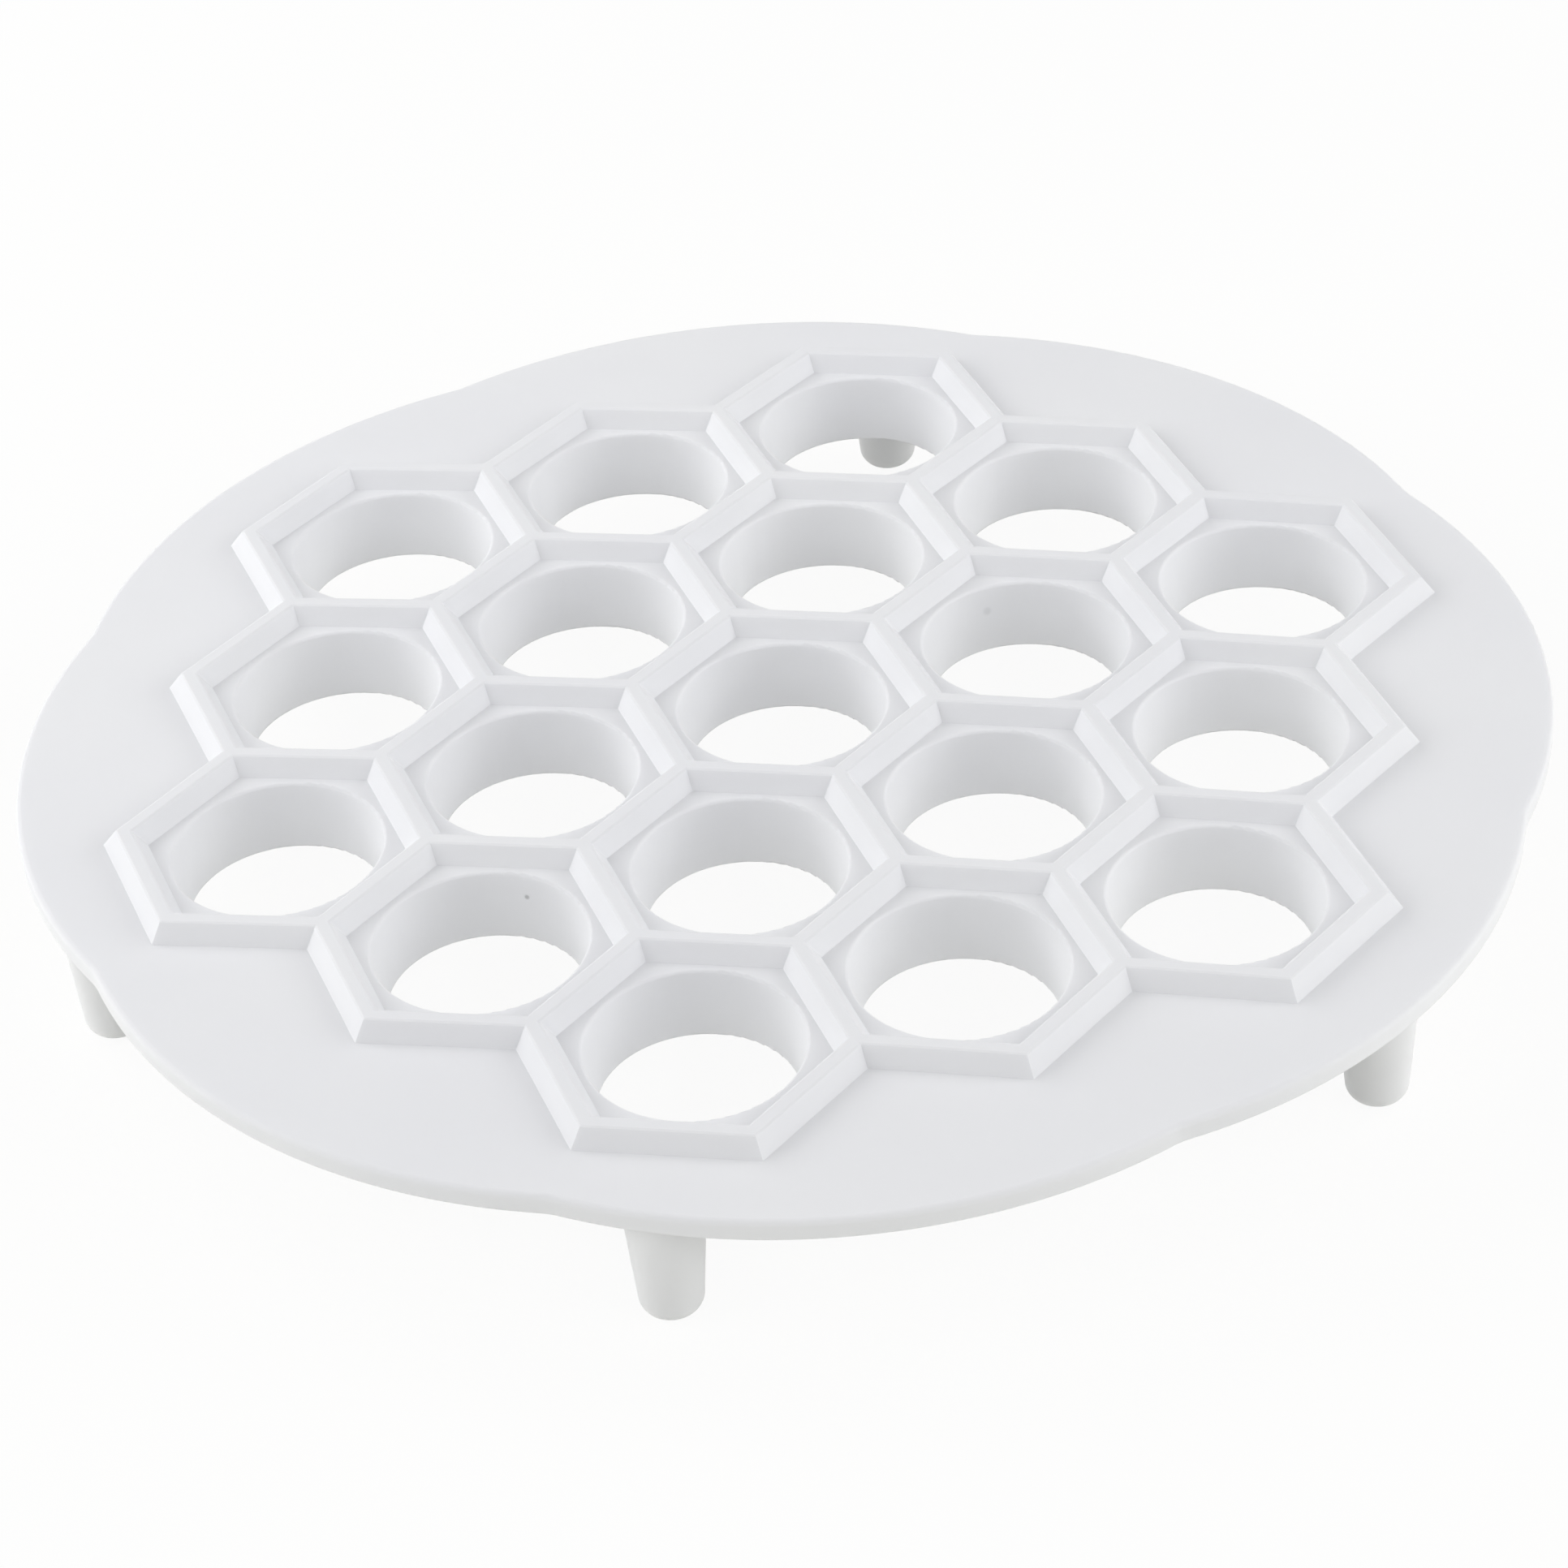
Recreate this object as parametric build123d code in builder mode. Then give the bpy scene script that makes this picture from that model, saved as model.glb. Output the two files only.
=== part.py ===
"""Round ravioli tray: a crowned plate with hexagonal cutting frames, drop-through collars and six legs.

Millimetres. The tray stands on Z = 0, with its middle at the origin and the cutting frames on top.
"""
import os
from math import atan, cos, degrees, hypot, pi, radians, sin, sqrt, tan

from build123d import *

# Cells
pitch = 42.0                # centre of one cell to the centre of the next
rings = 2                   # rings of cells around the middle one

# Cutting ridges, which stand on the plate
ridge_foot = 6.2            # width where a ridge meets the plate
ridge_crest = 2.1           # width across the top of a ridge, before its bevels
ridge_height = 2.85
ridge_trim = 0.3            # extra height that is trimmed off, so that all crests lie on one ball
crest_bevel = 0.23          # what the bevels take off the crest's width and off the sides, each

# Plate, which is part of a large hollow ball
plate_thickness = 3.5
crown_rise = 3.0            # how much higher the middle of the plate is than its edge
rim_round_top = 0.9         # rounding of the plate's outer edge, above
rim_round_bottom = 0.5      # and below
lobes = 8                   # shallow lobes of the outline
lobe_rise = 3.1             # how far the middle of a lobe stands out beyond the valleys between lobes
lobe_turn = 15.0            # direction of the first lobe's middle, in degrees from X
valley_round = 12.0         # radius that softens each valley

# Collars, through which the cut pieces drop
ledge = 1.25                # flat strip between the foot of a ridge and the hole, at the middle of a side
hole_narrowing = 1.45       # how much smaller the hole's radius is at its lower end
collar_drop = 11.5          # plate's top face to the collar's lower end
collar_wall = 1.6
hole_rim_round = 0.5        # rounding of the hole's upper edge
collar_end_round = 0.4      # rounding of the collar's lower end, inside and outside
collar_root_round = 0.8     # inside corner between a collar and the plate

# Legs
leg_names = ["front", "front_right", "back_right", "back", "back_left", "front_left"]
leg_top_radius = 6.3        # at the plate's lower face
leg_end_radius = 4.65       # at the floor, before the tip is rounded
leg_drop = 20.7             # plate's lower face to the floor
leg_tip_round = 3.0
boss_height = 1.0           # part of each leg's height that is moulded with the plate
boss_root_round = 0.4       # inside corner between a boss and the plate
spigot_radius = 3.0
spigot_length = 3.0
spigot_lead = 0.4           # chamfer at the spigot's end
socket_clearance = 0.05     # around the spigot, on the radius
socket_end_gap = 0.3        # beyond the spigot's end
leg_to_collar_gap = 4.45    # between a leg's top and the nearest collar
leg_past_valleys = 0.35     # how much further out the legs' tops reach than the outline's valleys beside them

# Distances from a cell's centre to the flat sides of its ridge, and the slope of the ridge's sides
outer_foot = (pitch + ridge_foot) / 2
inner_foot = (pitch - ridge_foot) / 2
ridge_slope = degrees(atan((ridge_foot - ridge_crest) / 2 / ridge_height))

# Bevels start at a shoulder on each side of a ridge, and slope half as steeply as the sides
bevel_slope = (90 + ridge_slope) / 2
shoulder_height = ridge_height - crest_bevel * cos(radians(ridge_slope))
shoulder_run = shoulder_height * tan(radians(ridge_slope))
bevel_height = ridge_height - shoulder_height

# Radii of a hole and its collar, whose wall has the hole's slope
hole_slope = degrees(atan(hole_narrowing / collar_drop))
hole_top_radius = inner_foot - ledge
hole_end_radius = hole_top_radius - hole_narrowing
collar_top_radius = hole_top_radius + collar_wall
collar_root_radius = collar_top_radius - plate_thickness * tan(radians(hole_slope))
collar_end_radius = hole_end_radius + collar_wall

# Legs stand just outside the corner cells, and taper evenly from the plate to the floor
leg_count = len(leg_names)
leg_slope = degrees(atan((leg_top_radius - leg_end_radius) / leg_drop))
leg_circle = rings * pitch + collar_top_radius + leg_to_collar_gap + leg_top_radius
boss_bottom = leg_drop - boss_height
boss_end_radius = leg_top_radius - boss_height * tan(radians(leg_slope))

# Each lobe of the outline is one arc about a centre off the middle of the tray
valley_reach = leg_circle + leg_top_radius - leg_past_valleys
lobe_reach = valley_reach + lobe_rise
half_lobe = radians(180 / lobes)
lobe_offset = (lobe_reach**2 - valley_reach**2) / (2 * (lobe_reach - valley_reach * cos(half_lobe)))
lobe_radius = lobe_reach - lobe_offset

# The balls that the plate's top face, its lower face and the crests lie on share one middle
crown_radius = (lobe_reach**2 + crown_rise**2) / (2 * crown_rise)
under_radius = crown_radius - plate_thickness
crest_radius = hypot(crown_radius + ridge_height, pitch / 2)
collar_end_distance = crown_radius - collar_drop
ball_middle = Vector(0, 0, leg_drop - sqrt(under_radius**2 - leg_circle**2))

# A plane for each cell, which touches the plate's top face at the cell's centre
column_step = pitch * cos(radians(30))
cell_planes = []
for column in range(-rings, rings + 1):
    cells_in_column = 2 * rings + 1 - abs(column)
    for row in range(cells_in_column):
        x = column * column_step
        y = (row - (cells_in_column - 1) / 2) * pitch
        outwards = Vector(x, y, sqrt(crown_radius**2 - x**2 - y**2))
        cell_planes.append(Plane(ball_middle + outwards, x_dir=(1, 0, 0), z_dir=outwards))

# Ridges and collars start half way through the plate, so that they join it everywhere
half_plate = plate_thickness / 2
buried_planes = [cell.offset(-half_plate) for cell in cell_planes]
shoulder_planes = [cell.offset(shoulder_height) for cell in cell_planes]
buried_foot = outer_foot + half_plate * tan(radians(ridge_slope))
buried_collar = collar_top_radius - half_plate * tan(radians(hole_slope))


# How closely a round edge has to match the radius and the distance that it is looked for by
radius_slack = 0.05
distance_slack = 0.2


def rings_at(part, distance, radius):
    """The round edges of one radius whose middles lie one distance from the middle of the balls."""
    closed = part.edges().filter_by(lambda edge: edge.is_closed)
    sized = closed.filter_by(lambda edge: abs(edge.length / (2 * pi) - radius) < radius_slack)
    return [
        edge for edge in sized
        if abs((edge.center(CenterOf.MASS) - ball_middle).length - distance) < distance_slack
    ]


def balls_of(part):
    """The part's faces that lie on a ball, from the lowest to the highest."""
    return part.faces().filter_by(GeomType.SPHERE).sort_by(Axis.Z)


# Tray: plate, ridges, collars and leg bosses in one moulding
with BuildPart() as tray:
    # Plate
    with BuildSketch() as outline:
        with PolarLocations(lobe_offset, lobes, start_angle=lobe_turn):
            Circle(lobe_radius)
        fillet(outline.vertices(), valley_round)
    extrude(amount=leg_drop + plate_thickness + crown_rise)
    with Locations(ball_middle):
        Sphere(crown_radius, rotation=(0, 90, 0), mode=Mode.INTERSECT)
        Sphere(under_radius, rotation=(0, 90, 0), mode=Mode.SUBTRACT)
    fillet(balls_of(tray)[-1].edges(), rim_round_top)
    fillet(balls_of(tray)[0].edges(), rim_round_bottom)

    # Ridges: sloping hexagons with a bevel above, hollowed by hexagons that slope the other way
    with BuildSketch(*buried_planes):
        RegularPolygon(buried_foot, 6, major_radius=False)
    extrude(amount=half_plate + shoulder_height, taper=ridge_slope)
    with BuildSketch(*shoulder_planes):
        RegularPolygon(outer_foot - shoulder_run, 6, major_radius=False)
    extrude(amount=bevel_height + ridge_trim, taper=bevel_slope)
    with Locations(ball_middle):
        Sphere(crest_radius, rotation=(0, 90, 0), mode=Mode.INTERSECT)
    with BuildSketch(*cell_planes):
        RegularPolygon(inner_foot, 6, major_radius=False)
    extrude(amount=shoulder_height, taper=-ridge_slope, mode=Mode.SUBTRACT)
    with BuildSketch(*shoulder_planes):
        RegularPolygon(inner_foot + shoulder_run, 6, major_radius=False)
    extrude(amount=bevel_height + ridge_trim, taper=-bevel_slope, mode=Mode.SUBTRACT)

    # Collars, and the holes through them
    with BuildSketch(*buried_planes):
        Circle(buried_collar)
    extrude(amount=half_plate - collar_drop, taper=hole_slope)
    with BuildSketch(*cell_planes):
        Circle(hole_top_radius)
    extrude(amount=-collar_drop, taper=hole_slope, mode=Mode.SUBTRACT)
    fillet(rings_at(tray, crown_radius, hole_top_radius), hole_rim_round)
    fillet(rings_at(tray, under_radius, collar_root_radius), collar_root_round)
    fillet(rings_at(tray, collar_end_distance, hole_end_radius), collar_end_round)
    fillet(rings_at(tray, collar_end_distance, collar_end_radius), collar_end_round)

    # Bosses, and the blind sockets in them
    with BuildSketch(Plane.XY.offset(boss_bottom)):
        with PolarLocations(leg_circle, leg_count, start_angle=-90):
            Circle(boss_end_radius)
    extrude(amount=boss_height + half_plate, taper=-leg_slope)
    fillet(rings_at(tray, under_radius, leg_top_radius), boss_root_round)
    with BuildSketch(Plane.XY.offset(boss_bottom)):
        with PolarLocations(leg_circle, leg_count, start_angle=-90):
            Circle(spigot_radius + socket_clearance)
    extrude(amount=spigot_length + socket_end_gap, mode=Mode.SUBTRACT)

tray.part.label = "tray"

# Legs: tapered studs with a rounded tip, each with a spigot pressed into its boss
spigot_end = boss_bottom + spigot_length
legs = []
for number, leg_name in enumerate(leg_names):
    direction = radians(360 / leg_count * number - 90)
    foot = (leg_circle * cos(direction), leg_circle * sin(direction), 0)
    with BuildPart() as leg:
        with BuildSketch(Plane(foot, x_dir=(1, 0, 0), z_dir=(0, -1, 0))) as profile:
            with BuildLine():
                Polyline(
                    (0, 0),
                    (leg_end_radius, 0),
                    (boss_end_radius, boss_bottom),
                    (spigot_radius, boss_bottom),
                    (spigot_radius, spigot_end),
                    (0, spigot_end),
                    close=True,
                )
            make_face()
            fillet(profile.vertices().sort_by_distance((leg_end_radius, 0))[0], leg_tip_round)
            chamfer(profile.vertices().sort_by_distance((spigot_radius, spigot_end))[0], spigot_lead)
        revolve(axis=Axis(foot, (0, 0, 1)))
    leg.part.label = leg_name + "_leg"
    legs.append(leg.part)

os.makedirs("parts", exist_ok=True)
for piece in [tray.part, *legs]:
    export_step(piece, "parts/" + piece.label + ".step")
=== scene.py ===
"""Looks of the ravioli tray: satin white plastic on a pale floor, in soft studio light.

Metres, in the frame of the CAD model: the tray stands on Z = 0 with its middle at the origin.
"""

from math import cos, radians, sin

import bpy
from mathutils import Matrix, Vector

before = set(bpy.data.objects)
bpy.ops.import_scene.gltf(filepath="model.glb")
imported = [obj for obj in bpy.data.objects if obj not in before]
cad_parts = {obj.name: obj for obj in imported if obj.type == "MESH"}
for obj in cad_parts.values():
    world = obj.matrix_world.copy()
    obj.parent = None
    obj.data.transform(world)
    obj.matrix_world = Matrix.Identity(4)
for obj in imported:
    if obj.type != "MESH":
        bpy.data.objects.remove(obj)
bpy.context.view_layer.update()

# Camera, worked out from the photograph
camera_place = Vector((0.13368, -0.67410, 0.51268))
camera_heading = 11.2683        # degrees from +Y towards -X
camera_tilt = 36.1271           # degrees below the horizon
camera_roll = -4.1019           # degrees that the picture's horizontal axis rises to the right
camera_lens = 121.776           # millimetres, on a sensor 36 mm wide
camera_sensor = 36

# Even light from all round
world_strength = 0.23
world_colour = (0.985, 0.99, 1.0)

# Soft lamps at both sides and in front: place, width and height, and watts
wide_lamp = (1.6, 0.8)
panel = (0.4, 0.4)
lamps = {
    "left_lamp": ((-1.38, -0.24, 0.5), wide_lamp, 7),
    "right_lamp": ((1.4, 0, 0.5), wide_lamp, 7.1),
    "front_lamp": ((0, -1.15, 0.96), wide_lamp, 2.1),
    "front_left_panel": ((-0.6, -0.35, 0.5), panel, 1.2),
    "back_left_panel": ((-0.6, 0.35, 0.5), panel, 2),
    "front_right_panel": ((0.6, -0.35, 0.5), panel, 1),
    "back_right_panel": ((0.6, 0.35, 0.5), panel, 1.3),
}

# Floor, which looks almost white
floor_half = 6.0
floor_colour = (0.96, 0.96, 0.91)
floor_shadow_share = 0.08       # how much of the lit and shaded floor shows through the white near the tray
shadow_reach = 0.25             # distance from the middle at which that share starts to fade
white_from = 1.0                # distance beyond which the floor looks plain white

# Plastic
tray_colour = (0.905, 0.91, 0.935)
leg_colour = (0.9, 0.905, 0.92)
darker_share = 0.975            # tone of the darker patches, as a share of the colour
roughness = 0.46
roughness_change = 0.05         # how far the roughness wanders, up and down
index_of_refraction = 1.49
specular_level = 0.4
scatter_weight = 0.5            # part of the light that spreads inside the plastic
scatter_reach = 0.001
scatter_shares = (1, 1, 1)      # of the reach, for red, green and blue

# Sizes of the plastic's patches and bumps
mottle_size = 0.045             # broad, hardly visible patches of tone
wave_size = 0.014               # gentle unevenness of moulded faces
wave_depth = 0.00002
grain_size = 0.0004             # fine satin grain of the mould
grain_depth = 0.000006
noise_middle = (0.3, 0.7)       # the range that most values of a noise are in
plain_detail = 2.0              # how many times a noise is added to itself at half the size
fine_detail = 4.0               # the same for the roughness

# Two tiny dark inclusions in the collars' walls: place, radius and strength
inclusions = [
    (Vector((-0.03249, -0.04726, 0.02236)), 0.0004, 0.5),
    (Vector((0.02830, 0.03487, 0.02209)), 0.0007, 0.12),
]
inclusion_colour = (0.22, 0.23, 0.22)
fade_from, fade_to = 0.4, 1.4   # where an inclusion fades out, in radii


def node(tree, kind, **values):
    """A new shader node, with its properties set by name."""
    made = tree.nodes.new(kind)
    for name, value in values.items():
        setattr(made, name, value)
    return made


def remapped(tree, value, given, wanted, **values):
    """A value moved from the range that it is given in to the range that is wanted."""
    made = node(tree, "ShaderNodeMapRange", **values)
    for name, limit in zip(("From Min", "From Max", "To Min", "To Max"), (*given, *wanted)):
        made.inputs[name].default_value = limit
    tree.links.new(value, made.inputs["Value"])
    return made.outputs["Result"]


def seen_directly(tree):
    """A value of 1 for camera, glossy and transmission rays, and 0 for the rays that carry light."""
    path = node(tree, "ShaderNodeLightPath")
    first = node(tree, "ShaderNodeMath", operation="MAXIMUM")
    second = node(tree, "ShaderNodeMath", operation="MAXIMUM")
    tree.links.new(path.outputs["Is Camera Ray"], first.inputs[0])
    tree.links.new(path.outputs["Is Glossy Ray"], first.inputs[1])
    tree.links.new(first.outputs[0], second.inputs[0])
    tree.links.new(path.outputs["Is Transmission Ray"], second.inputs[1])
    return second.outputs[0]


def make_world():
    """Even light from all round. Seen directly or in a reflection, it is plain white."""
    world = bpy.data.worlds.new("studio")
    bpy.context.scene.world = world
    world.use_nodes = True
    tree = world.node_tree
    tree.nodes.clear()
    light = node(tree, "ShaderNodeBackground")
    light.inputs["Color"].default_value = (*world_colour, 1)
    light.inputs["Strength"].default_value = world_strength
    white = node(tree, "ShaderNodeBackground")
    white.inputs["Color"].default_value = (1, 1, 1, 1)
    white.inputs["Strength"].default_value = 1
    mix = node(tree, "ShaderNodeMixShader")
    out = node(tree, "ShaderNodeOutputWorld")
    tree.links.new(seen_directly(tree), mix.inputs[0])
    tree.links.new(light.outputs[0], mix.inputs[1])
    tree.links.new(white.outputs[0], mix.inputs[2])
    tree.links.new(mix.outputs[0], out.inputs["Surface"])


def make_camera():
    """A camera that sees the tray from where the photograph was taken."""
    heading, tilt, roll = radians(camera_heading), radians(camera_tilt), radians(camera_roll)
    forward = Vector((-sin(heading) * cos(tilt), cos(heading) * cos(tilt), -sin(tilt)))
    level = Vector((cos(heading), sin(heading), 0))
    right = cos(roll) * level + sin(roll) * level.cross(forward)
    up = right.cross(forward)
    data = bpy.data.cameras.new("camera")
    data.lens = camera_lens
    data.sensor_width = camera_sensor
    camera = bpy.data.objects.new("camera", data)
    bpy.context.scene.collection.objects.link(camera)
    turn = Matrix((right, up, -forward)).transposed().to_4x4()
    camera.matrix_world = Matrix.Translation(camera_place) @ turn
    bpy.context.scene.camera = camera


def make_lamp(name, place, size, watts):
    """A soft lamp that faces the tray. It isn't mirrored in the plastic, so the plate never glares."""
    data = bpy.data.lights.new(name, "AREA")
    data.shape = "RECTANGLE"
    data.size, data.size_y = size
    data.energy = watts
    lamp = bpy.data.objects.new(name, data)
    bpy.context.scene.collection.objects.link(lamp)
    turn = Vector(place).to_track_quat("Z", "Y").to_matrix().to_4x4()
    lamp.matrix_world = Matrix.Translation(place) @ turn
    lamp.visible_glossy = False


def make_floor():
    """A wide pale floor, which looks white and keeps a faint shadow."""
    mesh = bpy.data.meshes.new("floor")
    corners = [(x * floor_half, y * floor_half, 0) for x, y in ((-1, -1), (1, -1), (1, 1), (-1, 1))]
    mesh.from_pydata(corners, [], [(0, 1, 2, 3)])
    floor = bpy.data.objects.new("floor", mesh)
    bpy.context.scene.collection.objects.link(floor)
    material = bpy.data.materials.new("floor")
    material.use_nodes = True
    tree = material.node_tree
    tree.nodes.clear()
    pale = node(tree, "ShaderNodeBsdfDiffuse")
    pale.inputs["Color"].default_value = (*floor_colour, 1)
    white = node(tree, "ShaderNodeEmission")
    white.inputs["Strength"].default_value = 1
    apart = node(tree, "ShaderNodeVectorMath", operation="LENGTH")
    tree.links.new(node(tree, "ShaderNodeTexCoord").outputs["Object"], apart.inputs[0])
    fade, shares = (shadow_reach, white_from), (1 - floor_shadow_share, 1)
    whiteness = remapped(tree, apart.outputs["Value"], fade, shares)
    share = node(tree, "ShaderNodeMath", operation="MULTIPLY")
    mix = node(tree, "ShaderNodeMixShader")
    out = node(tree, "ShaderNodeOutputMaterial")
    tree.links.new(whiteness, share.inputs[1])
    tree.links.new(seen_directly(tree), share.inputs[0])
    tree.links.new(share.outputs[0], mix.inputs[0])
    tree.links.new(pale.outputs[0], mix.inputs[1])
    tree.links.new(white.outputs[0], mix.inputs[2])
    tree.links.new(mix.outputs[0], out.inputs["Surface"])
    floor.data.materials.append(material)


def noise(tree, place, size, detail=plain_detail):
    """Noise from 0 to 1 whose patches are about as wide as the size given."""
    made = node(tree, "ShaderNodeTexNoise")
    made.inputs["Scale"].default_value = 1 / size
    made.inputs["Detail"].default_value = detail
    tree.links.new(place, made.inputs["Vector"])
    return made.outputs["Fac"]


def raised(tree, height, depth, under=None):
    """A bump of the given depth, on top of another if there is one."""
    made = node(tree, "ShaderNodeBump")
    made.inputs["Distance"].default_value = depth
    tree.links.new(height, made.inputs["Height"])
    if under:
        tree.links.new(under, made.inputs["Normal"])
    return made.outputs["Normal"]


def mixed(tree, share, first, second):
    """Two colours, each a socket or a value, mixed by a share."""
    made = node(tree, "ShaderNodeMix", data_type="RGBA")
    tree.links.new(share, made.inputs["Factor"])
    for name, colour in (("A", first), ("B", second)):
        socket = [s for s in made.inputs if s.name == name and s.type == "RGBA"][0]
        if isinstance(colour, bpy.types.NodeSocket):
            tree.links.new(colour, socket)
        else:
            socket.default_value = (*colour, 1)
    return [s for s in made.outputs if s.type == "RGBA"][0]


def soft_dot(tree, place, spot, radius, strength):
    """The strength given at a spot, falling to 0 just outside the radius."""
    apart = node(tree, "ShaderNodeVectorMath", operation="DISTANCE")
    apart.inputs[1].default_value = spot
    tree.links.new(place, apart.inputs[0])
    fade = (fade_from * radius, fade_to * radius)
    return remapped(tree, apart.outputs["Value"], fade, (strength, 0), interpolation_type="SMOOTHSTEP")


def plastic(name, colour, dots):
    """Satin moulded plastic: faint patches of tone, gentle waves, a fine grain, and a few dark dots."""
    material = bpy.data.materials.new(name)
    material.use_nodes = True
    tree = material.node_tree
    shader = tree.nodes["Principled BSDF"]
    place = node(tree, "ShaderNodeTexCoord").outputs["Object"]

    # Colour
    darker = [darker_share * c for c in colour]
    mottle = remapped(tree, noise(tree, place, mottle_size), noise_middle, (0, 1))
    tone = mixed(tree, mottle, darker, colour)
    for spot, radius, strength in dots:
        tone = mixed(tree, soft_dot(tree, place, spot, radius, strength), tone, inclusion_colour)
    tree.links.new(tone, shader.inputs["Base Color"])

    # Roughness and bumps
    unevenness = noise(tree, place, wave_size, fine_detail)
    rough_range = (roughness - roughness_change, roughness + roughness_change)
    tree.links.new(remapped(tree, unevenness, noise_middle, rough_range), shader.inputs["Roughness"])
    waves = raised(tree, noise(tree, place, wave_size), wave_depth)
    grain = raised(tree, noise(tree, place, grain_size), grain_depth, waves)
    tree.links.new(grain, shader.inputs["Normal"])

    # Reflection, and light that spreads inside
    shader.inputs["IOR"].default_value = index_of_refraction
    shader.inputs["Specular IOR Level"].default_value = specular_level
    shader.inputs["Subsurface Weight"].default_value = scatter_weight
    shader.inputs["Subsurface Radius"].default_value = scatter_shares
    shader.inputs["Subsurface Scale"].default_value = scatter_reach
    return material


tray_plastic = plastic("moulded_white", tray_colour, inclusions)
leg_plastic = plastic("moulded_white_leg", leg_colour, [])

for name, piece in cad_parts.items():
    is_tray = name == "tray"
    piece.data.materials.clear()
    piece.data.materials.append(tray_plastic if is_tray else leg_plastic)

make_camera()
make_world()
make_floor()
for name, (place, size, watts) in lamps.items():
    make_lamp(name, place, size, watts)

bpy.context.scene.view_settings.view_transform = "Standard"
